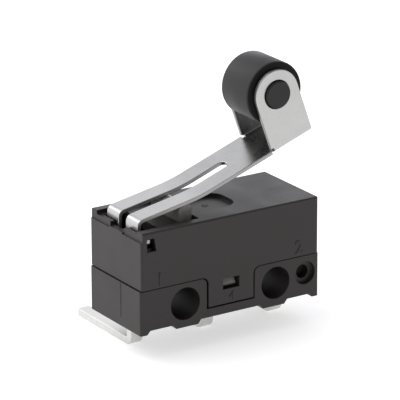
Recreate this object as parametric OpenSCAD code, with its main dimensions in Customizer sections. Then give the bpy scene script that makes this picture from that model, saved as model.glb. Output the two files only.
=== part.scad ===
// Subminiature snap-action switch with a hinged roller lever and side-bent solder pins.
// X runs along the case, Y through its thickness and Z up. The origin lies midway
// between the two mounting holes, in the middle of the case's thickness.

/* [Case] */
// Length of the base moulding
body_l = 12.84; // [12.78:0.02:13.4]
// Thickness of the base moulding
body_w = 5.76; // [5.7:0.02:6.4]
// Height of the cover above the joint line
cover_h = 3.62; // [3.58:0.02:4.2]
// Height of the joint line between base and cover, above the pads
split_h = 2.88; // [2.84:0.02:2.92]
// Visible gap along the joint line
joint_gap = 0.05; // [0.02:0.01:0.08]
// How far each end of the base stands proud of the cover
end_step = 0.07; // [0:0.01:0.12]
// How far each side of the cover stands proud of the base
side_step = 0.04; // [0:0.01:0.08]
// Radius of the case's upright corners
corner_r = 0.14; // [0.08:0.02:0.3]
// Radius round the cover's top edges
top_edge_r = 0.12; // [0.06:0.02:0.2]
// Side wall of the cover
side_wall = 0.6; // [0.5:0.02:0.64]
// End wall of the cover
end_wall = 0.6; // [0.45:0.01:0.62]
// Top wall of the cover
top_wall = 0.8; // [0.6:0.02:0.84]
// Clearance between mouldings and strips that are pushed together
fit = 0.03; // [0.01:0.01:0.05]

/* [Mounting holes] */
// Distance of the hole centres from the base's ends
hole_margin = 3.17; // [3.12:0.01:3.2]
// Diameter of the mounting holes
hole_d = 2.05; // [1.9:0.05:2.1]
// Height of the hole centres above the pads
hole_h = 1.5; // [1.4:0.02:1.54]

/* [Snap joint] */
// Land between each hole and the cover's tongue
tongue_land = 0.605; // [0.57:0.005:0.9]
// Height of the tongue's lower end above the pads
tongue_foot_h = 0.93; // [0.7:0.01:1.2]
// Gap round the tongue
tongue_gap = 0.1; // [0.04:0.01:0.14]
// Radius of the base's shoulders beside the tongue
shoulder_r = 0.4; // [0.2:0.02:0.46]
// Width of the latch window
window_w = 1.18; // [0.9:0.02:1.6]
// Height of the latch window
window_h = 0.68; // [0.5:0.02:0.8]
// Height of the window's sill above the pads
window_sill_h = 1.86; // [1.7:0.02:2]
// How far the latch stands out of the base
latch_proud = 0.36; // [0.2:0.02:0.5]
// Clearance between latch and window
latch_gap = 0.08; // [0.04:0.01:0.12]
// Height of the flat part of the latch's outer face
latch_land = 0.1; // [0.02:0.01:0.2]
// Height of the base's rails inside the cover
rail_h = 0.6; // [0.4:0.02:0.9]
// Thickness of the rails
rail_t = 0.4; // [0.3:0.02:0.5]
// Distance of the rails' ends from the cover's end walls
rail_inset = 0.55; // [0.2:0.05:1.5]

/* [Underside] */
// How far the underside lies above the pads
relief = 0.27; // [0.1:0.01:0.35]
// Width of each pad under a hole
pad_w = 1.56; // [1:0.02:2]
// How far each pad's centre lies inboard of its hole
pad_inset = 0.13; // [0:0.01:0.3]
// Length of the foot at each end
foot_l = 0.47; // [0.3:0.01:0.7]
// How far the feet stop short of the pads
foot_lift = 0.03; // [0:0.01:0.08]
// Run of the slopes beside pads and feet
slope_run = 0.22; // [0.1:0.01:0.3]

/* [Moulding marks] */
// Distance of the stepped recess from the base's right-hand end
gate_margin = 1.0; // [0.9:0.01:1.08]
// Height of the recess above the hole centres
gate_rise = 0.21; // [0:0.01:0.3]
// Diameter of the recess
gate_d = 1.47; // [1.1:0.01:1.6]
// Depth of the recess
gate_depth = 0.32; // [0.2:0.01:0.5]
// Diameter of the deeper core in the recess
core_d = 0.86; // [0.6:0.01:1]
// Depth of the core below the recess
core_depth = 0.6; // [0.3:0.05:1]
// Distance of the fine groove down the base's left end from the middle plane
groove_offset = 0.64; // [0.5:0.02:1]
// Width and depth of that groove
groove_size = 0.06; // [0.04:0.01:0.1]
// Length of that groove below the joint line
groove_l = 2.2; // [1:0.1:2.4]
// Diameter of the ring mark in the middle of the top
ring_mark_d = 0.42; // [0.3:0.02:0.6]

/* [Top of the cover] */
// Depth of the recess under the lever
recess_d = 0.25; // [0.1:0.01:0.3]
// Width of the recess between the end and the plunger
channel_w = 4.6; // [4.3:0.02:4.8]
// Width of the rounded pocket beyond the plunger
pocket_w = 2.76; // [2:0.02:3.2]
// Distance of the pocket's round end past the middle of the case
pocket_end = 1.62; // [1:0.02:3]
// Corner radius of the pocket
pocket_r = 0.98; // [0.5:0.02:1]
// Width of the notch in the end wall
notch_w = 1.5; // [1:0.02:2]
// Depth of the notch below the top
notch_depth = 0.5; // [0.35:0.02:0.7]
// Height of the stepped-back band at the top of the end wall
band_h = 0.6; // [0.3:0.02:0.8]
// How far the band is stepped back
band_depth = 0.1; // [0.04:0.01:0.15]
// Length of the opening that the lever's legs go through
opening_l = 1.45; // [1:0.02:1.7]
// Clearance beside the legs in the opening
opening_gap = 0.23; // [0.1:0.01:0.3]
// Length of the pivot window in the side wall
pivot_window_l = 0.5; // [0.42:0.01:0.7]
// Height of the pivot window
pivot_window_h = 0.8; // [0.6:0.01:0.85]
// How far the window widens towards its lower edge
pivot_window_flare = 0.14; // [0:0.01:0.2]
// Clearance above and behind the pivot ears
pivot_gap = 0.06; // [0.04:0.01:0.07]

/* [Plunger] */
// Distance of the plunger from the base's left-hand end
plunger_margin = 4.02; // [3.92:0.02:4.12]
// Length of the plunger along the case
plunger_l = 0.96; // [0.8:0.02:1.1]
// Width of the plunger across the case
plunger_w = 3.2; // [2.6:0.02:3.3]
// Radius of the plunger's upright edges
plunger_r = 0.1; // [0.05:0.01:0.2]
// Radius of the plunger's crowned top
crown_r = 0.6; // [0.56:0.02:0.9]
// Clearance round the plunger in its slot
plunger_gap = 0.05; // [0.03:0.01:0.08]
// How far the plunger's collar is wider than the plunger on each side
collar_proud = 0.32; // [0.2:0.02:0.36]
// Height of the collar
collar_h = 0.35; // [0.25:0.01:0.45]
// Length of the foot that presses the blade
press_l = 0.8; // [0.5:0.02:0.9]
// Width of the foot that presses the blade
press_w = 2.4; // [2:0.02:2.6]

/* [Lever] */
// Thickness of the lever's strip
lever_t = 0.26; // [0.22:0.01:0.3]
// Width of the lever
lever_w = 3.5; // [3.3:0.02:3.6]
// Width of the slot between the two prongs
slot_w = 0.8; // [0.6:0.02:1.2]
// How far the slot runs past the lever's bend
slot_run = 3.15; // [2:0.05:4]
// Corner radius at the end of the slot
slot_r = 0.28; // [0.1:0.02:0.3]
// Distance from the cover's end to the outside of the legs
leg_inset = 0.47; // [0.44:0.01:0.5]
// Depth of the pivot below the cover's top
pivot_drop = 0.61; // [0.58:0.01:0.65]
// Height of the lever's underside above the pivot, at the legs
root_rise = 0.78; // [0.76:0.01:0.9]
// Inside radius of the bends above the legs
root_r = 0.2; // [0.1:0.01:0.3]
// Slope of the lever's first part
first_slope = 10.3; // [10:0.1:12]
// Distance along X from the legs to the lever's bend
bend_run = 4.25; // [3.9:0.05:4.6]
// Radius of the lever's bend
bend_r = 11.6; // [4:0.2:14]
// Slope of the lever's second part
second_slope = 19.7; // [15:0.1:24]
// Distance of the pivot ears' ends from the middle plane
ear_reach = 2.76; // [2.5:0.01:2.84]
// Height of the pivot ears
ear_h = 0.28; // [0.22:0.01:0.32]

/* [Yoke and roller] */
// Distance from the lever's bend to the yoke
yoke_start = 5.5; // [4.6:0.05:6.5]
// Width of the yoke's ears along the lever
yoke_l = 3.08; // [2.8:0.02:3.5]
// Height of the roller's axis above the lever's underside
axis_rise = 3.45; // [2.9:0.05:4]
// Outside radius of the folds under the ears
fold_r = 0.36; // [0.32:0.01:0.5]
// Width of the relief notch at the root of each ear
relief_notch = 0.18; // [0.08:0.01:0.25]
// Diameter of the roller
roller_d = 3.95; // [3:0.05:4.6]
// Side clearance between the roller and the ears
roller_gap = 0.06; // [0.03:0.01:0.1]
// Edge radius of the roller
roller_edge_r = 0.12; // [0.06:0.01:0.2]
// Diameter of the roller's own round pins
pin_d = 1.7; // [1.2:0.05:1.9]
// Running clearance of the pins in the ears
pin_gap = 0.04; // [0.02:0.01:0.08]
// How far the pins stand out of the ears
pin_proud = 0.2; // [0.1:0.01:0.3]
// Chamfer round the pins' ends
pin_chamfer = 0.06; // [0.02:0.01:0.08]

/* [Solder pins] */
// Distance of the outer solder pins from the base's ends
strip_margin = 1.34; // [1.32:0.01:1.38]
// Width of each strip
strip_w = 0.87; // [0.7:0.01:0.88]
// Thickness of the strips
strip_t = 0.5; // [0.35:0.01:0.5]
// Depth of the bent strips' underside below the pads
strip_drop = 1.65; // [1.4:0.01:2.2]
// Inside radius of the strips' bends
strip_bend_r = 0.1; // [0.06:0.01:0.3]
// Distance of the strips' tips behind the middle plane
strip_reach = 6.1; // [4.5:0.05:8]
// Chamfer at the corners of the strips' tips
tip_chamfer = 0.1; // [0.05:0.01:0.18]

/* [Contacts] */
// Thickness of the strips' bars and tabs inside the case
bar_t = 0.4; // [0.35:0.01:0.42]
// Room between the upper tab and the cover's top wall
head_room = 0.33; // [0.25:0.01:0.36]
// Thickness of the blade
blade_t = 0.1; // [0.06:0.01:0.12]
// Width of the blade
blade_w = 2.6; // [2.4:0.02:3]
// Width of the blade's window
blade_window_w = 1.1; // [0.96:0.02:1.2]
// Width of the tension tongue in the window
tension_w = 0.8; // [0.6:0.02:0.84]
// Depth of the tension tongue's bow
tension_bow = 0.36; // [0.2:0.02:0.4]
// Distance of the contacts from the base's right-hand end
contact_margin = 1.92; // [1.9:0.01:1.98]
// Diameter of the contact buttons
contact_d = 1.0; // [0.8:0.02:1.04]
// Height of the moving contact's heads
moving_head = 0.3; // [0.2:0.01:0.32]
// Height of the fixed contacts' heads
fixed_head = 0.25; // [0.2:0.01:0.28]
// Radius of the rivet shanks of the contacts
shank_r = 0.25; // [0.15:0.01:0.3]
// Land of the tabs round the contact buttons
tab_land = 0.1; // [0.05:0.01:0.14]
// Depth of the nicks that the blade and its tongue sit in
nick = 0.14; // [0.1:0.01:0.18]
// Height of the nick for the tongue
tongue_nick_h = 0.22; // [0.2:0.01:0.26]
// Width of the common terminal's posts
post_l = 0.48; // [0.4:0.01:0.55]
// Distance of the tongue's seat below the blade
tongue_drop = 0.6; // [0.5:0.01:0.64]
// How far the posts stand above their nicks
post_top = 0.18; // [0.1:0.01:0.24]
// Solid length of the blade beyond its window
blade_head_l = 1.66; // [1.5:0.02:2]
// Clearance between the closed terminal's riser and the blade and wall
riser_gap = 0.15; // [0.1:0.01:0.18]
// How deep the riser is set in the base
riser_depth = 0.9; // [0.8:0.01:1]
// Gap that stands for surfaces that only touch
touch_gap = 0.02; // [0.01:0.01:0.03]

/* [Hidden] */

// Colours
BLACK = "#3a3736";
STEEL = "#b9b9b7";
TIN = "#c9c9c6";
BRONZE = "#b88a55";
SILVER = "#d7d7d5";

// Overshoot of cuts that pass clean through a face
over = 0.5;
// Overlap of pieces joined into one solid
bond = 0.02;
// Sides of the circles
round_sides = 48;
wheel_sides = 96;

// Levels of the case
z_pad = -hole_h;
z_under = z_pad + relief;
z_split = z_pad + split_h;
z_floor = z_split - joint_gap;
z_top = z_split + cover_h;
z_recess = z_top - recess_d;
z_ceiling = z_top - top_wall;

// Plan of the case
cover_l = body_l - 2 * end_step;
cover_w = body_w + 2 * side_step;
cavity_l = cover_l - 2 * end_wall;
cavity_w = cover_w - 2 * side_wall;
hole_x = body_l / 2 - hole_margin;
gate_x = body_l / 2 - gate_margin;
tongue_w = 2 * (hole_x - hole_d / 2 - tongue_land);
tongue_r = shoulder_r + joint_gap;
common_x = strip_margin - body_l / 2;
closed_x = body_l / 2 - strip_margin;
contact_x = body_l / 2 - contact_margin;
plunger_x = plunger_margin - body_l / 2;

// Lever, measured on its underside
leg_out_x = -cover_l / 2 + leg_inset;
leg_in_x = leg_out_x + lever_t;
pivot_x = leg_out_x + lever_t / 2;
pivot_z = z_top - pivot_drop;
leg_foot_z = pivot_z - ear_h / 2;
root_z = pivot_z + root_rise;
bend_x = leg_in_x + bend_run;
bend_z = root_z + bend_run * tan(first_slope);
yoke_mid = yoke_start + yoke_l / 2;
ear_r = yoke_l / 2;
roller_half = lever_w / 2 - lever_t - roller_gap;
pin_reach = lever_w / 2 + pin_proud;
opening_x = leg_out_x - pivot_gap;

// Stack of the contacts, from the upper tab down and from the floor up
closed_tab_top_z = z_ceiling - head_room;
closed_tab_z = closed_tab_top_z - bar_t;
closed_face_z = closed_tab_z - fixed_head;
blade_top_z = closed_face_z - touch_gap - moving_head;
blade_foot_z = blade_top_z - blade_t;
seat_z = z_floor + touch_gap;
open_tab_z = seat_z + bar_t;
open_face_z = open_tab_z + fixed_head;

// Plunger, from the lever's underside down to the blade
under_z = root_z + (plunger_x - leg_in_x) * tan(first_slope);
crown_z = under_z - (crown_r + touch_gap) / cos(first_slope);
collar_top_z = z_ceiling - touch_gap;
collar_foot_z = collar_top_z - collar_h;

// Blade, posts and riser along X
button_r = contact_d / 2;
tab_half = button_r + tab_land;
hole_r = shank_r + touch_gap / 2;
anchor_x0 = common_x - strip_w / 2;
anchor_x1 = anchor_x0 + post_l;
seat_x1 = -strip_w;
seat_x0 = seat_x1 - post_l;
tongue_z = blade_top_z - tongue_drop;
blade_x0 = anchor_x1 - nick + touch_gap;
blade_x1 = contact_x + button_r + tab_land / 2;
window_x0 = anchor_x1 + tab_land;
window_x1 = blade_x1 - blade_head_l - button_r;
riser_x0 = blade_x1 + riser_gap;
riser_x1 = cavity_l / 2 - riser_gap / 2;
riser_foot_z = z_floor - riser_depth;
riser_leg_z = riser_foot_z + bar_t;

// ---------- shapes ----------

// A drawing in X and Z, as thick as t through Y
module across(t) {
  rotate([90, 0, 0]) linear_extrude(t, center = true) children();
}

// A drawing in X and Z, from y0 to y1
module between(y0, y1) {
  translate([0, (y0 + y1) / 2, 0]) across(abs(y1 - y0)) children();
}

// A drawing in Y and Z, as long as l through X
module along(l) {
  rotate([90, 0, 90]) linear_extrude(l, center = true) children();
}

// Rectangle from corner to corner, grown by g on every side
module patch(x0, y0, x1, y1, g = 0) {
  translate([x0 - g, y0 - g]) square([x1 - x0 + 2 * g, y1 - y0 + 2 * g]);
}

// Block from corner to corner
module block(a, b) {
  translate(a) cube(b - a);
}

// Round bar along Y through the middle plane
module bar(x, z, r, l) {
  translate([x, 0, z]) rotate([90, 0, 0]) cylinder(h = l, r = r, center = true, $fn = round_sides);
}

// Rectangle with four round corners
module soft_rect(l, w, r) {
  square([l - 2 * r, w], center = true);
  square([l, w - 2 * r], center = true);
  for (sx = [-1, 1], sy = [-1, 1])
    translate([sx * (l / 2 - r), sy * (w / 2 - r)]) circle(r, $fn = round_sides);
}

// Rectangle between y0 and y1 with its two upper corners rounded
module arch(l, y0, y1, r) {
  patch(-l / 2, y0, l / 2, y1 - r);
  patch(-l / 2 + r, y0, l / 2 - r, y1);
  for (s = [-1, 1]) translate([s * (l / 2 - r), y1 - r]) circle(r, $fn = round_sides);
}

// The same thing on both sides of the middle plane
module both_sides() {
  children();
  mirror([0, 1, 0]) children();
}

// ---------- bent strips ----------

function unit(v) = v / norm(v);
function normal(v) = [-v[1], v[0]];
function turned(v, a) = [v[0] * cos(a) - v[1] * sin(a), v[0] * sin(a) + v[1] * cos(a)];

// Arc of radius r in place of the corner b on the way from a to c
function bend(a, b, c, r, n) =
  let (u = unit(b - a), v = unit(c - b), side = sign(u[0] * v[1] - u[1] * v[0]), turn = acos(u * v))
  let (start = b - r * tan(turn / 2) * u, centre = start + side * r * normal(u))
  [for (i = [0:n]) centre - side * r * turned(normal(u), side * i * turn / n)];

// The same path moved to its left by d
function beside(p, d) =
  [for (i = [0:len(p) - 1])
    let (a = normal(unit(p[max(i, 1)] - p[max(i, 1) - 1])))
    let (b = normal(unit(p[min(i + 1, len(p) - 1)] - p[min(i, len(p) - 2)])))
    p[i] + d * (a + b) / (1 + a * b)];

// Strip of thickness t on the left of a path
module strip(p, t) {
  q = beside(p, t);
  polygon(concat(p, [for (i = [len(q) - 1:-1:0]) q[i]]));
}

// ---------- base ----------

// Half of the base's outline, from the middle of its underside to its top corner
base_half = [
  [hole_x - pad_inset - pad_w / 2 - slope_run, z_under],
  [hole_x - pad_inset - pad_w / 2, z_pad],
  [hole_x - pad_inset + pad_w / 2, z_pad],
  [hole_x - pad_inset + pad_w / 2 + slope_run, z_under],
  [body_l / 2 - foot_l - slope_run, z_under],
  [body_l / 2 - foot_l, z_pad + foot_lift],
  [body_l / 2, z_pad + foot_lift],
  [body_l / 2, z_floor]
];

module base_outline() {
  polygon(concat(base_half, [for (i = [len(base_half) - 1:-1:0]) [-base_half[i][0], base_half[i][1]]]));
}

// Recess for the tongue, with the base's shoulders rounded into it
module tongue_recess_outline() {
  w = tongue_w / 2 + tongue_gap;
  patch(-w, z_pad + tongue_foot_h - tongue_gap, w, z_floor + over);
  difference() {
    patch(-w - shoulder_r, z_floor - shoulder_r, w + shoulder_r, z_floor + over);
    for (s = [-1, 1])
      translate([s * (w + shoulder_r), z_floor - shoulder_r]) circle(shoulder_r, $fn = round_sides);
  }
}

// Wedge that the cover's window snaps over
module latch() {
  face = cavity_w / 2 - fit;
  z0 = z_pad + window_sill_h + latch_gap;
  z1 = z0 + window_h - 2 * latch_gap;
  along(window_w - 2 * latch_gap) polygon([
    [-face + bond, z0], [-face - latch_proud, z0], [-face - latch_proud, z0 + latch_land],
    [-face - latch_gap / 2, z1], [-face + bond, z1]
  ]);
}

// Room for the strips that are moulded into the base
module strip_slots() {
  across(strip_t + 2 * fit) {
    for (x = [common_x, 0]) patch(x - strip_w / 2, z_pad - over, x + strip_w / 2, z_floor + over, fit);
    patch(closed_x - strip_w / 2, z_pad - over, closed_x + strip_w / 2, riser_leg_z, fit);
    patch(riser_x0, riser_foot_z, riser_x1, z_floor + over, fit);
  }
}

module base() {
  face = body_w / 2;
  rail_x = cavity_l / 2 - rail_inset;
  rail_y = cavity_w / 2 - fit;
  color(BLACK) {
    difference() {
      intersection() {
        across(body_w) base_outline();
        translate([0, 0, z_pad - over]) linear_extrude(split_h + over) soft_rect(body_l, body_w, corner_r);
      }
      for (s = [-1, 1]) bar(s * hole_x, 0, hole_d / 2, body_w + over);
      both_sides() between(-face - over, -cavity_w / 2 + fit) tongue_recess_outline();
      strip_slots();
      translate([gate_x, -face, gate_rise]) rotate([90, 0, 0]) {
        cylinder(h = 2 * gate_depth, r = gate_d / 2, center = true, $fn = round_sides);
        cylinder(h = 2 * (gate_depth + core_depth), r = core_d / 2, center = true, $fn = round_sides);
      }
      translate([-body_l / 2, -groove_offset, z_floor])
        cube([groove_size, groove_size, 2 * groove_l], center = true);
    }
    both_sides() latch();
    both_sides() block([-rail_x, -rail_y, z_floor - bond], [rail_x, -rail_y + rail_t, z_floor + rail_h]);
  }
}

// ---------- cover ----------

module cover_shell() {
  intersection() {
    translate([0, 0, z_split]) linear_extrude(z_top - z_split) soft_rect(cover_l, cover_w, corner_r);
    across(cover_w) arch(cover_l, z_split, z_top, top_edge_r);
    along(cover_l) arch(cover_w, z_split, z_top, top_edge_r);
  }
}

// Tongue with its roots filleted round the base's shoulders
module tongue_outline() {
  r = tongue_r;
  patch(-tongue_w / 2, z_pad + tongue_foot_h, tongue_w / 2, z_split + bond);
  difference() {
    patch(-tongue_w / 2 - r, z_split - r, tongue_w / 2 + r, z_split + bond);
    for (s = [-1, 1]) translate([s * (tongue_w / 2 + r), z_split - r]) circle(r, $fn = round_sides);
  }
}

// Channel and rounded pocket that the lever and the plunger work in
module top_recess() {
  channel_x = plunger_x + plunger_l / 2 + touch_gap;
  pocket_l = pocket_end - channel_x + 2 * pocket_r;
  translate([0, 0, z_recess]) {
    block([-cover_l / 2 - over, -channel_w / 2, 0], [channel_x, channel_w / 2, over]);
    linear_extrude(over) intersection() {
      translate([pocket_end - pocket_l / 2, 0]) soft_rect(pocket_l, pocket_w, pocket_r);
      patch(channel_x - bond, -pocket_w / 2, pocket_end, pocket_w / 2);
    }
  }
}

// Opening for the legs, windows for the pivot ears, notch and stepped band
module lever_cuts() {
  half = lever_w / 2 + opening_gap;
  z1 = pivot_z + ear_h / 2 + pivot_gap;
  z0 = z1 - pivot_window_h;
  block([opening_x, -half, z0], [opening_x + opening_l, half, z_top]);
  across(cover_w + over) polygon([
    [opening_x, z0], [opening_x + pivot_window_l + pivot_window_flare, z0],
    [opening_x + pivot_window_l, z1], [opening_x, z1]
  ]);
  block([-cover_l / 2 - over, -notch_w / 2, z_top - notch_depth], [opening_x + over, notch_w / 2, z_top]);
  both_sides() block([-cover_l / 2 - over, notch_w / 2, z_top - band_h],
    [-cover_l / 2 + band_depth, cover_w / 2 + over, z_top + over]);
}

module cover() {
  face = cover_w / 2;
  sill_z = z_pad + window_sill_h;
  color(BLACK) difference() {
    union() {
      cover_shell();
      both_sides() between(-face, -cavity_w / 2) tongue_outline();
    }
    block([-cavity_l / 2, -cavity_w / 2, z_split - over], [cavity_l / 2, cavity_w / 2, z_ceiling]);
    across(cover_w + over) patch(-window_w / 2, sill_z, window_w / 2, sill_z + window_h);
    top_recess();
    lever_cuts();
    translate([plunger_x, 0, z_ceiling - over]) linear_extrude(top_wall + 2 * over)
      soft_rect(plunger_l + 2 * plunger_gap, plunger_w + 2 * plunger_gap, plunger_r + plunger_gap);
    translate([0, 0, z_recess]) difference() {
      cylinder(h = groove_size, r = ring_mark_d / 2, center = true, $fn = round_sides);
      cylinder(h = 2 * groove_size, r = ring_mark_d / 2 - groove_size, center = true, $fn = round_sides);
    }
  }
}

// ---------- plunger ----------

module plunger() {
  half = plunger_l / 2;
  color(BLACK) {
    intersection() {
      translate([plunger_x, 0, collar_foot_z]) linear_extrude(cover_h)
        soft_rect(plunger_l, plunger_w, plunger_r);
      across(plunger_w) {
        patch(plunger_x - half, collar_foot_z, plunger_x + half, crown_z);
        translate([plunger_x, crown_z]) circle(crown_r, $fn = round_sides);
      }
    }
    translate([plunger_x, 0, collar_foot_z]) linear_extrude(collar_h)
      soft_rect(plunger_l + 2 * collar_proud, plunger_w + 2 * collar_proud, plunger_r);
    block([plunger_x - press_l / 2, -press_w / 2, blade_top_z + touch_gap],
      [plunger_x + press_l / 2, press_w / 2, collar_foot_z + bond]);
  }
}

// ---------- lever and roller ----------

// Placed on the lever's second part: X along its underside from the bend, Z square to it
module on_second_part() {
  translate([bend_x, 0, bend_z]) rotate([0, -second_slope, 0]) children();
}

// Underside of the lever, from the foot of the legs to the yoke
lever_bend = [bend_x, bend_z];
lever_root = [leg_in_x, root_z];
lever_foot = [leg_in_x, leg_foot_z];
lever_end = lever_bend + (yoke_start + bond) * [cos(second_slope), sin(second_slope)];
lever_path = concat(
  [lever_foot],
  bend(lever_foot, lever_root, lever_bend, root_r, 10),
  bend(lever_root, lever_bend, lever_end, bend_r, 8),
  [lever_end]
);

// Cross-section of the yoke: a floor with an upright ear folded up on each side
module yoke_section() {
  top = axis_rise + ear_r + over;
  mirror([0, 1]) difference() {
    arch(lever_w, -top, 0, fold_r);
    arch(lever_w - 2 * lever_t, -top - over, -lever_t, fold_r - lever_t);
  }
}

module yoke() {
  difference() {
    intersection() {
      translate([yoke_mid, 0, 0]) along(yoke_l) yoke_section();
      across(lever_w) {
        patch(yoke_start, 0, yoke_start + yoke_l, axis_rise);
        translate([yoke_mid, axis_rise]) circle(ear_r, $fn = wheel_sides);
      }
    }
    bar(yoke_mid, axis_rise, pin_d / 2 + pin_gap, lever_w + over);
    both_sides() block([yoke_start - over, -lever_w / 2 - over, -over],
      [yoke_start + relief_notch, -lever_w / 2 + fold_r, fold_r]);
  }
}

module lever() {
  slot_l = slot_run + 2 * bend_run;
  color(STEEL) difference() {
    union() {
      across(lever_w) strip(lever_path, lever_t);
      on_second_part() yoke();
      both_sides() block([leg_out_x, -ear_reach, pivot_z - ear_h / 2],
        [leg_in_x, -lever_w / 2 + bond, pivot_z + ear_h / 2]);
    }
    on_second_part() translate([slot_run - slot_l / 2, 0, -bend_run])
      linear_extrude(2 * bend_run) soft_rect(slot_l, slot_w, slot_r);
  }
}

module roller() {
  r = roller_d / 2;
  e = roller_edge_r;
  p = pin_d / 2;
  c = pin_chamfer;
  color(BLACK) on_second_part() translate([yoke_mid, 0, axis_rise]) rotate([90, 0, 0])
    rotate_extrude($fn = wheel_sides) {
      patch(0, -roller_half, r - e, roller_half);
      patch(0, -roller_half + e, r, roller_half - e);
      for (s = [-1, 1]) translate([r - e, s * (roller_half - e)]) circle(e, $fn = 24);
      polygon([
        [0, -pin_reach], [p - c, -pin_reach], [p, -pin_reach + c],
        [p, pin_reach - c], [p - c, pin_reach], [0, pin_reach]
      ]);
    }
}

// ---------- terminals ----------

// Solder strip at x: its upright runs up to z1, its bent part runs back to the tip
module solder_strip(x, z1) {
  inner_z = z_pad - strip_drop + strip_t;
  tip = [strip_reach, inner_z];
  knee = [strip_t / 2, inner_z];
  top = [strip_t / 2, z1];
  half = strip_w / 2;
  translate([x, 0, 0]) intersection() {
    along(strip_w) strip(concat([tip], bend(tip, knee, top, strip_bend_r, 10), [top]), strip_t);
    translate([0, 0, inner_z - strip_t]) linear_extrude(z1 - inner_z + strip_t) polygon([
      [-half, -strip_t], [half, -strip_t], [half, strip_reach - tip_chamfer],
      [half - tip_chamfer, strip_reach], [tip_chamfer - half, strip_reach], [-half, strip_reach - tip_chamfer]
    ]);
  }
}

// Terminal with the rivet hole through its square tab, whose underside lies at z0
module contact_tab(z0) {
  difference() {
    children();
    translate([contact_x, 0, z0 - bar_t]) cylinder(h = 3 * bar_t, r = hole_r, $fn = round_sides);
  }
}

module common_terminal() {
  nick_h = tongue_nick_h / 2;
  color(TIN) {
    solder_strip(common_x, seat_z + bar_t);
    across(strip_t) difference() {
      union() {
        patch(anchor_x0, seat_z, seat_x1, seat_z + bar_t);
        patch(anchor_x0, seat_z, anchor_x1, blade_top_z + post_top);
        patch(seat_x0, seat_z, seat_x1, tongue_z + nick_h + post_top);
      }
      patch(anchor_x1 - nick, blade_foot_z, anchor_x1 + over, blade_top_z, touch_gap);
      patch(seat_x1 - nick, tongue_z - nick_h, seat_x1 + over, tongue_z + nick_h);
    }
  }
}

module normally_open_terminal() {
  color(TIN) contact_tab(seat_z) {
    union() {
      solder_strip(0, seat_z + bar_t);
      across(strip_t) patch(-strip_w / 2, seat_z, contact_x, open_tab_z);
      block([contact_x - tab_half, -tab_half, seat_z], [contact_x + tab_half, tab_half, open_tab_z]);
    }
  }
}

module normally_closed_terminal() {
  color(TIN) contact_tab(closed_tab_z) {
    union() {
      solder_strip(closed_x, riser_leg_z);
      across(strip_t) {
        patch(riser_x0, riser_foot_z, riser_x1, closed_tab_top_z);
        patch(contact_x, closed_tab_z, riser_x1, closed_tab_top_z);
      }
      block([contact_x - tab_half, -tab_half, closed_tab_z],
        [contact_x + tab_half, tab_half, closed_tab_top_z]);
    }
  }
}

// ---------- contacts ----------

// Round contact button or rivet shank between two heights
module button(r, z0, z1) {
  translate([contact_x, 0, z0]) cylinder(h = z1 - z0, r = r, $fn = round_sides);
}

module normally_open_contact() {
  color(SILVER) {
    button(button_r, open_tab_z, open_face_z);
    button(shank_r, seat_z, open_tab_z + bond);
  }
}

module normally_closed_contact() {
  color(SILVER) {
    button(button_r, closed_face_z, closed_tab_z);
    button(shank_r, closed_tab_z - bond, closed_tab_top_z);
  }
}

module moving_contact() {
  color(SILVER) {
    button(button_r, blade_foot_z - moving_head, blade_foot_z);
    button(button_r, blade_top_z, blade_top_z + moving_head);
    button(shank_r, blade_foot_z - bond, blade_top_z + bond);
  }
}

// Blade with a bowed tongue that pushes against the middle post of the common terminal
module contact_blade() {
  a = [seat_x1 - nick + touch_gap, tongue_z - blade_t / 2];
  b = [window_x1 + tab_land, blade_foot_z];
  bow = [for (t = [0:0.1:1]) a + (b - a) * t - [0, 4 * tension_bow * t * (1 - t)]];
  color(BRONZE) {
    translate([0, 0, blade_foot_z]) linear_extrude(blade_t) difference() {
      patch(blade_x0, -blade_w / 2, blade_x1, blade_w / 2);
      patch(window_x0, -blade_window_w / 2, window_x1, blade_window_w / 2);
      translate([contact_x, 0]) circle(hole_r, $fn = round_sides);
    }
    across(tension_w) strip(bow, blade_t);
  }
}

base();
cover();
plunger();
lever();
roller();
common_terminal();
normally_open_terminal();
normally_closed_terminal();
normally_open_contact();
normally_closed_contact();
contact_blade();
moving_contact();
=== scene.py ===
import math

import bmesh
import bpy
from mathutils import Matrix, Quaternion, Vector


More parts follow.
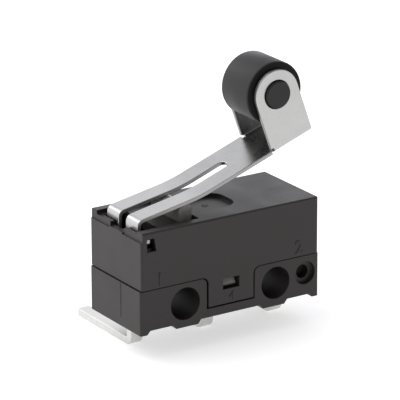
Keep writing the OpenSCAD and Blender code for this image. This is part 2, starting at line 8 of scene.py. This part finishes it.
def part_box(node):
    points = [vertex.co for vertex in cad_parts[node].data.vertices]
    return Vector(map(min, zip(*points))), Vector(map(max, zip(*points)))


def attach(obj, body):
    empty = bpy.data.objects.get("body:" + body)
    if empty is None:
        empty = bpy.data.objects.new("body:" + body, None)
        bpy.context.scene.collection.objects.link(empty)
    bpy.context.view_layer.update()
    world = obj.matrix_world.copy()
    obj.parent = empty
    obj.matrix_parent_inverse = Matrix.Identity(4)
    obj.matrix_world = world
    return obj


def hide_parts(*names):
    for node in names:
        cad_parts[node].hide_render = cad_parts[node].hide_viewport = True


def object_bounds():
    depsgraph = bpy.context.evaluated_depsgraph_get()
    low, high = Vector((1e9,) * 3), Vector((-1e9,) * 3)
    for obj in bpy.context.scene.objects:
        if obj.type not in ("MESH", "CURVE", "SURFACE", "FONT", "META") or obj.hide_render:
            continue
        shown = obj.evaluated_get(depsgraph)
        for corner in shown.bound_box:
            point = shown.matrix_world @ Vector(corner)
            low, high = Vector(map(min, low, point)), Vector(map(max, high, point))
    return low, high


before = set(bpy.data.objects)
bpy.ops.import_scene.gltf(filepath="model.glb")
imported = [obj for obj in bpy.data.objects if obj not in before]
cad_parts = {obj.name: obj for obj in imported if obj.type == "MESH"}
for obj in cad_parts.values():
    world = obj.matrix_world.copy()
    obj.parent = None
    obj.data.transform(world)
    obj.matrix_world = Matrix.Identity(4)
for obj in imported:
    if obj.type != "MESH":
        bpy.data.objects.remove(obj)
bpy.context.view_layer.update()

# ---------------------------------------------------------------- base moulding
# The base is one injection moulding in black glass-filled plastic. The three
# strips are set in it, and its rails and latches hold the cover. Its edges
# are slightly rounded and its faces have the fine grain of the tool.

millimetre = 0.001
same_point = 0.0002 * millimetre
flat_enough = math.radians(0.3)
sharp_from = math.radians(38)
rounding_steps = 2
base_edge_radius = 0.022 * millimetre
case_colour = (0.0148, 0.0110, 0.0098)
# Light grey of the painted highlight on the latch ramps.
latch_highlight_colour = (0.22, 0.215, 0.205)
drift_size = 2.2 * millimetre
texture_size = 0.11 * millimetre
case_texture_depth = 0.003 * millimetre
latch_highlight_texture_depth = 0.001 * millimetre
latch_reach = 0.62 * millimetre
latch_front = 2.2 * millimetre
latch_slope = 0.3


def soft_edged(node, name, edge_radius):
    """A copy of a CAD solid with its sharp edges rounded, as a tool or a tumbler leaves them."""
    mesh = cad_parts[node].data.copy()
    mesh.name = name
    if "custom_normal" in mesh.attributes:
        mesh.attributes.remove(mesh.attributes["custom_normal"])
    shape = bmesh.new()
    shape.from_mesh(mesh)
    bmesh.ops.remove_doubles(shape, verts=shape.verts, dist=same_point)
    bmesh.ops.dissolve_limit(shape, angle_limit=flat_enough, verts=shape.verts, edges=shape.edges)
    edges = [e for e in shape.edges if len(e.link_faces) == 2 and e.calc_face_angle(0.0) > sharp_from]
    rounding = bmesh.ops.bevel(
        shape, geom=edges, offset=edge_radius, offset_type="OFFSET", segments=rounding_steps,
        profile=0.5, affect="EDGES", clamp_overlap=False,
    )
    shape.normal_update()
    rounded = set(rounding["faces"])
    normals = []
    for corner in shape.verts:
        flats = [f for f in corner.link_faces if f not in rounded] or list(corner.link_faces)
        normals.append(sum((f.normal * f.calc_area() for f in flats), Vector()).normalized())
    shape.to_mesh(mesh)
    shape.free()
    mesh.materials.clear()
    mesh.shade_smooth()
    mesh.normals_split_custom_set_from_vertices(normals)
    piece = bpy.data.objects.new(name, mesh)
    bpy.context.scene.collection.objects.link(piece)
    return piece


def finish_nodes(name):
    """An empty procedural finish: the material, its node tree, its shader and the object's coordinates."""
    material = bpy.data.materials.new(name)
    material.use_nodes = True
    tree = material.node_tree
    tree.nodes.clear()
    shader = tree.nodes.new("ShaderNodeBsdfPrincipled")
    output = tree.nodes.new("ShaderNodeOutputMaterial")
    tree.links.new(shader.outputs["BSDF"], output.inputs["Surface"])
    place = tree.nodes.new("ShaderNodeTexCoord").outputs["Object"]
    return material, tree, shader, place


def grain(tree, place, size, detail=3.0, stretch=(1.0, 1.0, 1.0), turn=(0.0, 0.0, 0.0)):
    """Noise whose spots are about as large as size, drawn out along an axis by stretch."""
    mapping = tree.nodes.new("ShaderNodeMapping")
    mapping.inputs["Rotation"].default_value = turn
    mapping.inputs["Scale"].default_value = [1.0 / (size * s) for s in stretch]
    tree.links.new(place, mapping.inputs["Vector"])
    noise = tree.nodes.new("ShaderNodeTexNoise")
    noise.inputs["Scale"].default_value = 1.0
    noise.inputs["Detail"].default_value = detail
    tree.links.new(mapping.outputs["Vector"], noise.inputs["Vector"])
    return noise.outputs["Fac"]


def spread(tree, value, low, high, from_low=0.3, from_high=0.7):
    """The noise value laid over the range from low to high."""
    spread_node = tree.nodes.new("ShaderNodeMapRange")
    spread_node.inputs["From Min"].default_value = from_low
    spread_node.inputs["From Max"].default_value = from_high
    spread_node.inputs["To Min"].default_value = low
    spread_node.inputs["To Max"].default_value = high
    tree.links.new(value, spread_node.inputs["Value"])
    return spread_node.outputs["Result"]


def tinted(tree, value, colour, darkest, lightest):
    """The colour, varied in brightness with the noise value."""
    ramp = tree.nodes.new("ShaderNodeValToRGB")
    ramp.color_ramp.elements[0].position = 0.3
    ramp.color_ramp.elements[1].position = 0.7
    ramp.color_ramp.elements[0].color = [c * darkest for c in colour] + [1.0]
    ramp.color_ramp.elements[1].color = [c * lightest for c in colour] + [1.0]
    tree.links.new(value, ramp.inputs["Fac"])
    return ramp.outputs["Color"]


def relief(tree, shader, height, depth, below=None):
    """Bump of the given depth on the shader, over an earlier bump where there is one."""
    bump = tree.nodes.new("ShaderNodeBump")
    bump.inputs["Strength"].default_value = 1.0
    bump.inputs["Distance"].default_value = depth
    tree.links.new(height, bump.inputs["Height"])
    if below is not None:
        tree.links.new(below, bump.inputs["Normal"])
    tree.links.new(bump.outputs["Normal"], shader.inputs["Normal"])
    return bump.outputs["Normal"]


def moulded_plastic(name, colour, roughness, texture_depth, refraction=1.45, mottle=0.22):
    """Moulded plastic: a slow drift in tone, a fine spark-eroded texture and uneven gloss."""
    material, tree, shader, place = finish_nodes(name)
    drift = grain(tree, place, drift_size, detail=4.0)
    fine = grain(tree, place, texture_size, detail=2.0)
    tree.links.new(tinted(tree, drift, colour, 1 - mottle, 1 + mottle), shader.inputs["Base Color"])
    tree.links.new(spread(tree, drift, *roughness), shader.inputs["Roughness"])
    shader.inputs["IOR"].default_value = refraction
    relief(tree, shader, fine, texture_depth)
    return material


base_finish = moulded_plastic("base_plastic", case_colour, (0.42, 0.54), case_texture_depth)
latch_highlight_finish = moulded_plastic("latch_painted_highlight", latch_highlight_colour, (0.24, 0.34), latch_highlight_texture_depth)
base = soft_edged("base", "base_moulding", base_edge_radius)
base.data.materials.append(base_finish)
base.data.materials.append(latch_highlight_finish)
# Painted highlight: the upward-facing faces of the latch ramps get a light grey, glossier plastic that
# stands in for the light they catch from above.
for face in base.data.polygons:
    on_latch = abs(face.center.x) < latch_reach and abs(face.center.y) > latch_front and face.center.z > 0
    if on_latch and face.normal.z > latch_slope:
        face.material_index = 1
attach(base, "root")
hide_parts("base")

# ---------------------------------------------------------------- solder strips
# Three strips are stamped from copper-alloy sheet and tin plated. Inside the
# case they carry the contacts, and below it they are bent back to solder pins.

strip_edge_radius = 0.06 * millimetre
tin_colour = (0.66, 0.655, 0.63)
tin_cloud_size = 0.7 * millimetre
tin_line_width = 0.05 * millimetre
tin_line_depth = 0.0012 * millimetre

tin, tree, shader, place = finish_nodes("tin_plating")
cloud = grain(tree, place, tin_cloud_size, detail=5.0)
drawn = grain(tree, place, tin_line_width, detail=2.0, stretch=(1.0, 14.0, 14.0))
tree.links.new(tinted(tree, cloud, tin_colour, 0.9, 1.06), shader.inputs["Base Color"])
tree.links.new(spread(tree, cloud, 0.36, 0.5), shader.inputs["Roughness"])
shader.inputs["Metallic"].default_value = 1.0
relief(tree, shader, drawn, tin_line_depth)

for terminal in ("common_terminal", "normally_open_terminal", "normally_closed_terminal"):
    strip = soft_edged(terminal, terminal + "_strip", strip_edge_radius)
    strip.data.materials.append(tin)
    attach(strip, "root")
    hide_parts(terminal)

# ---------------------------------------------------------------- contacts and blade
# Silver rivets close the circuit. The thin copper-alloy blade carries the moving
# one, and its bowed tongue makes the blade snap over. All of it is inside the case.

silver_colour = (0.74, 0.73, 0.71)
blade_colour = (0.62, 0.36, 0.19)
silver_grain_size = 0.08 * millimetre
silver_grain_depth = 0.001 * millimetre
blade_line_width = 0.04 * millimetre
blade_line_depth = 0.0008 * millimetre

silver, tree, shader, place = finish_nodes("contact_silver")
headed = grain(tree, place, silver_grain_size, detail=3.0)
tree.links.new(tinted(tree, headed, silver_colour, 0.92, 1.05), shader.inputs["Base Color"])
tree.links.new(spread(tree, headed, 0.25, 0.4), shader.inputs["Roughness"])
shader.inputs["Metallic"].default_value = 1.0
relief(tree, shader, headed, silver_grain_depth)

bronze, tree, shader, place = finish_nodes("blade_bronze")
rolled = grain(tree, place, blade_line_width, detail=3.0, stretch=(20.0, 1.0, 1.0))
tree.links.new(tinted(tree, rolled, blade_colour, 0.9, 1.08), shader.inputs["Base Color"])
tree.links.new(spread(tree, rolled, 0.26, 0.38), shader.inputs["Roughness"])
shader.inputs["Metallic"].default_value = 1.0
relief(tree, shader, rolled, blade_line_depth)


def refinish(node, material):
    """Gives a CAD solid that stays as it is its finish."""
    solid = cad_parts[node]
    solid.data.materials.clear()
    solid.data.materials.append(material)


refinish("normally_open_contact", silver)
refinish("normally_closed_contact", silver)
refinish("moving_contact", silver)
refinish("contact_blade", bronze)

# ---------------------------------------------------------------- plunger
# A small black moulding that slides in the cover, coloured mid grey here as a painted highlight for the
# light on its glossy top.
# The lever presses its crowned top, which is polished by the steel, and its foot presses the blade.

plunger_edge_radius = 0.05 * millimetre
# Mid grey: a painted highlight standing in for the lit top of a black part.
plunger_highlight_colour = (0.19, 0.186, 0.174)
plunger_texture_depth = 0.0012 * millimetre

plunger_finish = moulded_plastic("plunger_plastic", plunger_highlight_colour, (0.24, 0.34), plunger_texture_depth)
plunger = soft_edged("plunger", "plunger_moulding", plunger_edge_radius)
plunger.data.materials.append(plunger_finish)
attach(plunger, "plunger")
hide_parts("plunger")

# ---------------------------------------------------------------- cover moulding
# The cover is a thin-walled black moulding that snaps over the base. Its top has
# the channel for the lever, the plunger's slot and the windows for the pivot ears.

cover_edge_radius = 0.024 * millimetre

cover_finish = moulded_plastic("cover_plastic", case_colour, (0.4, 0.52), case_texture_depth)
cover = soft_edged("cover", "cover_moulding", cover_edge_radius)
cover.data.materials.append(cover_finish)
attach(cover, "root")
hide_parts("cover")

# ---------------------------------------------------------------- moulded numerals
# Plain numerals stand a few hundredths of a millimetre proud of the cover's sides
# and tell the three pins apart: 1 common, 2 normally closed, 4 normally open.

numeral_height = 0.86 * millimetre
numeral_proud = 0.03 * millimetre
numeral_root = 0.05 * millimetre
numeral_edge_radius = 0.008 * millimetre
numeral_same_point = 0.0005 * millimetre
digit_share_of_font = 0.72
cover_low, cover_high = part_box("cover")
numerals = (
    {"digit": "1", "across": -5.05 * millimetre, "up": 1.9 * millimetre, "share": 1.0},
    {"digit": "2", "across": 4.95 * millimetre, "up": 1.95 * millimetre, "share": 1.0},
    {"digit": "4", "across": 0.05 * millimetre, "up": -0.15 * millimetre, "share": 0.62},
)


def moulded_numeral(side, digit, across, up, share):
    """A raised digit on the cover's front (side -1) or back (side 1)."""
    curve = bpy.data.curves.new("digit", "FONT")
    curve.body = digit
    curve.size = numeral_height * share / digit_share_of_font
    curve.align_x = "CENTER"
    curve.align_y = "CENTER"
    curve.extrude = (numeral_proud + numeral_root) / 2
    curve.bevel_depth = numeral_edge_radius
    writing = bpy.data.objects.new("digit", curve)
    bpy.context.scene.collection.objects.link(writing)
    bpy.context.view_layer.update()
    mesh = bpy.data.meshes.new_from_object(writing.evaluated_get(bpy.context.evaluated_depsgraph_get()))
    bpy.data.objects.remove(writing)
    bpy.data.curves.remove(curve)
    face = (cover_low.y if side < 0 else cover_high.y) + side * (numeral_proud - numeral_root) / 2
    turn = Matrix.Rotation(math.pi if side > 0 else 0.0, 4, "Z") @ Matrix.Rotation(math.pi / 2, 4, "X")
    mesh.transform(Matrix.Translation((across, face, up)) @ turn)
    return mesh


digits = bmesh.new()
for numeral in numerals:
    for side in (-1, 1):
        one = moulded_numeral(side, **numeral)
        digits.from_mesh(one)
        bpy.data.meshes.remove(one)
bmesh.ops.remove_doubles(digits, verts=digits.verts, dist=numeral_same_point)
digit_mesh = bpy.data.meshes.new("moulded_numerals")
digits.to_mesh(digit_mesh)
digits.free()
digit_mesh.materials.clear()
digit_mesh.materials.append(cover_finish)
marks = bpy.data.objects.new("moulded_numerals", digit_mesh)
bpy.context.scene.collection.objects.link(marks)
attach(marks, "root")

# ---------------------------------------------------------------- lever
# The lever is pressed from bright rolled stainless strip. Two prongs run down
# into the case, and at the far end two ears are folded up to hold the roller.

lever_edge_radius = 0.05 * millimetre
steel_colour = (0.462, 0.458, 0.45)
sheared_colour = (0.36, 0.355, 0.345)
rolling_slope = math.radians(18)
rolling_line_width = 0.018 * millimetre
rolling_line_depth = 0.00015 * millimetre
sheared_line_depth = 0.0008 * millimetre
haze_size = 1.1 * millimetre
ear_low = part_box("lever")[0].z + 3.9 * millimetre
ear_inside = 1.45 * millimetre


def pressed_steel(name, colour, roughness, line_depth):
    """Bright strip: fine lines along the rolling direction under a faint uneven haze."""
    material, tree, shader, place = finish_nodes(name)
    lines = grain(
        tree, place, rolling_line_width, stretch=(60.0, 1.0, 1.0), turn=(0.0, rolling_slope, 0.0)
    )
    haze = grain(tree, place, haze_size, detail=4.0)
    tree.links.new(tinted(tree, haze, colour, 0.95, 1.04), shader.inputs["Base Color"])
    tree.links.new(spread(tree, haze, *roughness), shader.inputs["Roughness"])
    shader.inputs["Metallic"].default_value = 1.0
    relief(tree, shader, lines, line_depth)
    return material


lever = soft_edged("lever", "lever_pressing", lever_edge_radius)
lever.data.materials.append(pressed_steel("rolled_steel", steel_colour, (0.24, 0.31), rolling_line_depth))
lever.data.materials.append(pressed_steel("sheared_steel", sheared_colour, (0.38, 0.5), sheared_line_depth))
for face in lever.data.polygons:
    in_ear = face.center.z > ear_low and abs(face.center.y) > ear_inside
    cut_edge = abs(face.normal.y) < 0.5 if in_ear else abs(face.normal.y) > 0.75
    if cut_edge:
        face.material_index = 1
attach(lever, "lever")
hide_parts("lever")

# ---------------------------------------------------------------- roller
# The roller and its two round pins are one black acetal moulding. It is a body
# of revolution about the axis through the lever's ears, held by the pins alone.

roller_colour = (0.0165, 0.0156, 0.016)
# Much darker tone of the roller's end faces: painted shade.
roller_end_shade_colour = (0.0045, 0.0043, 0.0042)
pin_radius = 0.85 * millimetre
pin_chamfer = 0.06 * millimetre
tread_half_length = 1.43 * millimetre
tread_edge_radius = 0.12 * millimetre
turn_steps = 144
edge_steps = 7
axis_radius = 0.0001 * millimetre
turned_same_point = 0.001 * millimetre
tread_texture_depth = 0.004 * millimetre
roller_end_texture_depth = 0.002 * millimetre


def value_input(tree, name, default):
    """A named size of a Geometry Nodes tree."""
    socket = tree.interface.new_socket(name=name, in_out="INPUT", socket_type="NodeSocketFloat")
    socket.default_value = default
    return socket.identifier


turning = bpy.data.node_groups.new("turned_roller", "GeometryNodeTree")
turning.interface.new_socket(name="Geometry", in_out="INPUT", socket_type="NodeSocketGeometry")
turning.interface.new_socket(name="Geometry", in_out="OUTPUT", socket_type="NodeSocketGeometry")
size_names = ("Tread radius", "Tread half length", "Edge radius", "Pin radius", "Pin reach", "Pin chamfer")
socket_of = {name: value_input(turning, name, 0.001) for name in size_names}
given = turning.nodes.new("NodeGroupInput")


def given_size(name):
    """The output that carries a named size."""
    return given.outputs[name]


def less(first, second):
    """The difference of two sizes."""
    node = turning.nodes.new("ShaderNodeMath")
    node.operation = "SUBTRACT"
    turning.links.new(first, node.inputs[0])
    turning.links.new(second, node.inputs[1])
    return node.outputs[0]


def corner(radius=None, height=None):
    """A point of the half section: its distance from the axis and its height along it."""
    node = turning.nodes.new("ShaderNodeCombineXYZ")
    if radius is not None:
        turning.links.new(radius, node.inputs["X"])
    if height is not None:
        turning.links.new(height, node.inputs["Y"])
    return node.outputs[0]


def straight(start, end):
    """A straight piece of the half section."""
    node = turning.nodes.new("GeometryNodeCurvePrimitiveLine")
    turning.links.new(start, node.inputs["Start"])
    turning.links.new(end, node.inputs["End"])
    return node.outputs["Curve"]


pin_rim = less(given_size("Pin radius"), given_size("Pin chamfer"))
pin_shoulder = less(given_size("Pin reach"), given_size("Pin chamfer"))
face_rim = less(given_size("Tread radius"), given_size("Edge radius"))
tread_end = less(given_size("Tread half length"), given_size("Edge radius"))
pin_centre = corner(None, given_size("Pin reach"))
pin_face_edge = corner(pin_rim, given_size("Pin reach"))
pin_side_start = corner(given_size("Pin radius"), pin_shoulder)
pin_side_end = corner(given_size("Pin radius"), given_size("Tread half length"))
roller_face_edge = corner(face_rim, given_size("Tread half length"))
tread_start = corner(given_size("Tread radius"), tread_end)
tread_middle = corner(given_size("Tread radius"))
section = [
    straight(pin_centre, pin_face_edge),
    straight(pin_face_edge, pin_side_start),
    straight(pin_side_start, pin_side_end),
    straight(pin_side_end, roller_face_edge),
    straight(tread_start, tread_middle),
]
edge = turning.nodes.new("GeometryNodeCurveArc")
edge.inputs["Resolution"].default_value = edge_steps
edge.inputs["Start Angle"].default_value = 0.0
edge.inputs["Sweep Angle"].default_value = math.pi / 2
turning.links.new(given_size("Edge radius"), edge.inputs["Radius"])
moved_edge = turning.nodes.new("GeometryNodeTransform")
turning.links.new(edge.outputs["Curve"], moved_edge.inputs["Geometry"])
turning.links.new(corner(face_rim, tread_end), moved_edge.inputs["Translation"])
section.append(moved_edge.outputs["Geometry"])

half_section = turning.nodes.new("GeometryNodeJoinGeometry")
for part in section:
    turning.links.new(part, half_section.inputs["Geometry"])
other_half = turning.nodes.new("GeometryNodeTransform")
other_half.inputs["Scale"].default_value = (1.0, -1.0, 1.0)
turning.links.new(half_section.outputs["Geometry"], other_half.inputs["Geometry"])
whole_section = turning.nodes.new("GeometryNodeJoinGeometry")
turning.links.new(half_section.outputs["Geometry"], whole_section.inputs["Geometry"])
turning.links.new(other_half.outputs["Geometry"], whole_section.inputs["Geometry"])

round_path = turning.nodes.new("GeometryNodeCurvePrimitiveCircle")
round_path.inputs["Resolution"].default_value = turn_steps
round_path.inputs["Radius"].default_value = axis_radius
turned = turning.nodes.new("GeometryNodeCurveToMesh")
turning.links.new(round_path.outputs["Curve"], turned.inputs["Curve"])
turning.links.new(whole_section.outputs["Geometry"], turned.inputs["Profile Curve"])
closed = turning.nodes.new("GeometryNodeMergeByDistance")
closed.inputs["Distance"].default_value = turned_same_point
turning.links.new(turned.outputs["Mesh"], closed.inputs["Geometry"])
laid_across = turning.nodes.new("GeometryNodeTransform")
laid_across.inputs["Rotation"].default_value = (math.pi / 2, 0.0, 0.0)
turning.links.new(closed.outputs["Geometry"], laid_across.inputs["Geometry"])
real = turning.nodes.new("GeometryNodeRealizeInstances")
turning.links.new(laid_across.outputs["Geometry"], real.inputs["Geometry"])
finished = turning.nodes.new("GeometryNodeSetMaterial")
turning.links.new(real.outputs["Geometry"], finished.inputs["Geometry"])
result = turning.nodes.new("NodeGroupOutput")
turning.links.new(finished.outputs["Geometry"], result.inputs["Geometry"])

roller_finish = moulded_plastic(
    "roller_plastic", roller_colour, (0.38, 0.62), tread_texture_depth, refraction=1.38, mottle=0.45
)
roller_end_painted_shade = moulded_plastic(
    "roller_end_painted_shade_plastic", roller_end_shade_colour, (0.5, 0.6), roller_end_texture_depth, refraction=1.25
)
finished.inputs["Material"].default_value = roller_finish

roller_low, roller_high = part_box("roller")
turner = bpy.data.objects.new("turner", bpy.data.meshes.new("turner"))
bpy.context.scene.collection.objects.link(turner)
turned_shape = turner.modifiers.new("turned_roller", "NODES")
turned_shape.node_group = turning
roller_sizes = {
    "Tread radius": (roller_high.x - roller_low.x) / 2,
    "Tread half length": tread_half_length,
    "Edge radius": tread_edge_radius,
    "Pin radius": pin_radius,
    "Pin reach": (roller_high.y - roller_low.y) / 2,
    "Pin chamfer": pin_chamfer,
}
for name, length in roller_sizes.items():
    turned_shape[socket_of[name]] = length
roller_mesh = bpy.data.meshes.new_from_object(turner.evaluated_get(bpy.context.evaluated_depsgraph_get()))
roller_mesh.name = "roller_moulding"
turner.modifiers.clear()
bpy.data.objects.remove(turner)
roller_mesh.transform(Matrix.Translation((roller_low + roller_high) / 2))
shape = bmesh.new()
shape.from_mesh(roller_mesh)
bmesh.ops.recalc_face_normals(shape, faces=shape.faces)
shape.to_mesh(roller_mesh)
shape.free()
# Painted shade: the roller's flat end faces, which sit in the shade of the ears, get the darker, less
# reflective plastic.
roller_mesh.materials.append(roller_end_painted_shade)
for face in roller_mesh.polygons:
    if abs(face.normal.y) > 0.9 and abs(face.center.y) < tread_half_length + pin_chamfer:
        face.material_index = 1
roller_mesh.shade_smooth()
roller_mesh.set_sharp_from_angle(angle=math.radians(35))
roller = bpy.data.objects.new("roller_moulding", roller_mesh)
bpy.context.scene.collection.objects.link(roller)
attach(roller, "roller")
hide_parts("roller")

# ---------------------------------------------------------------- studio
# The switch stands on a pale, softly lit table. The sky is brightest low at the back
# and darkest at the front, and two soft lights catch the lever and its bends.

low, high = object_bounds()
bpy.context.scene.view_settings.view_transform = "Standard"

table_reach = 3.0
table_shade = (0.76, 0.76, 0.76)
table_mottle_size = 40 * millimetre
table_glow = 0.53
sky_front_colour = (0.30, 0.295, 0.29, 1.0)
sky_back_colour = (0.95, 0.96, 1.0, 1.0)
sky_low_glow = 1.55
sky_high_glow = 0.95
table_mesh = bpy.data.meshes.new("table")
table_mesh.from_pydata(
    [(x * table_reach, y * table_reach, low.z) for x, y in ((-1, -1), (1, -1), (1, 1), (-1, 1))],
    [], [(0, 1, 2, 3)],
)
table = bpy.data.objects.new("table", table_mesh)
bpy.context.scene.collection.objects.link(table)
table_finish, tree, shader, place = finish_nodes("table_sheet")
paper = grain(tree, place, table_mottle_size)
tree.links.new(tinted(tree, paper, table_shade, 0.995, 1.0), shader.inputs["Base Color"])
shader.inputs["Roughness"].default_value = 0.9
shader.inputs["Emission Color"].default_value = (1.0, 1.0, 1.0, 1.0)
shader.inputs["Emission Strength"].default_value = table_glow
table_mesh.materials.append(table_finish)

world = bpy.data.worlds.new("studio")
bpy.context.scene.world = world
world.use_nodes = True
sky_tree = world.node_tree
sky = sky_tree.nodes["Background"]
direction = sky_tree.nodes.new("ShaderNodeTexCoord")
parts = sky_tree.nodes.new("ShaderNodeSeparateXYZ")
sky_tree.links.new(direction.outputs["Generated"], parts.inputs["Vector"])
fade = sky_tree.nodes.new("ShaderNodeValToRGB")
fade.color_ramp.elements[0].position = 0.0
fade.color_ramp.elements[0].color = sky_front_colour
fade.color_ramp.elements[1].position = 1.0
fade.color_ramp.elements[1].color = sky_back_colour
towards_back = sky_tree.nodes.new("ShaderNodeMapRange")
towards_back.interpolation_type = "SMOOTHSTEP"
towards_back.inputs["From Min"].default_value = -0.9
towards_back.inputs["From Max"].default_value = 0.5
sky_tree.links.new(parts.outputs["Y"], towards_back.inputs["Value"])
sky_tree.links.new(towards_back.outputs["Result"], fade.inputs["Fac"])
sky_tree.links.new(fade.outputs["Color"], sky.inputs["Color"])
glow_by_height = sky_tree.nodes.new("ShaderNodeMapRange")
glow_by_height.interpolation_type = "SMOOTHSTEP"
glow_by_height.inputs["From Min"].default_value = 0.3
glow_by_height.inputs["From Max"].default_value = 0.65
glow_by_height.inputs["To Min"].default_value = sky_low_glow
glow_by_height.inputs["To Max"].default_value = sky_high_glow
sky_tree.links.new(parts.outputs["Z"], glow_by_height.inputs["Value"])
sky_tree.links.new(glow_by_height.outputs["Result"], sky.inputs["Strength"])

middle = (low + high) / 2


def soft_light(name, offset, width, power):
    """A square soft light that faces the switch from the given offset."""
    lamp = bpy.data.lights.new(name, "AREA")
    lamp.shape = "SQUARE"
    lamp.size = width
    lamp.energy = power
    light = bpy.data.objects.new(name, lamp)
    bpy.context.scene.collection.objects.link(light)
    light.location = middle + Vector(offset)
    light.rotation_mode = "QUATERNION"
    light.rotation_quaternion = (-Vector(offset)).to_track_quat("-Z", "Y")


soft_light("high_light", (-0.14, 0.1, 0.26), 0.24, 0.32)
soft_light("bend_light", (-0.115, 0.28, 0.18), 0.1, 0.08)

look_at = Vector((0.318, 1.032, 4.766)) * millimetre
camera_distance = 0.2
azimuth = math.radians(-32.71)
elevation = math.radians(19.03)
roll = math.radians(-0.22)
back = Vector((
    math.sin(azimuth) * math.cos(elevation), -math.cos(azimuth) * math.cos(elevation), math.sin(elevation)
))
lens = bpy.data.cameras.new("camera")
lens.sensor_width = 36.0
lens.lens = 295.5
lens.clip_start = 0.01
lens.clip_end = 20.0
camera = bpy.data.objects.new("camera", lens)
bpy.context.scene.collection.objects.link(camera)
camera.location = look_at + camera_distance * back
camera.rotation_mode = "QUATERNION"
camera.rotation_quaternion = (-back).to_track_quat("-Z", "Y") @ Quaternion((0.0, 0.0, 1.0), roll)
bpy.context.scene.camera = camera
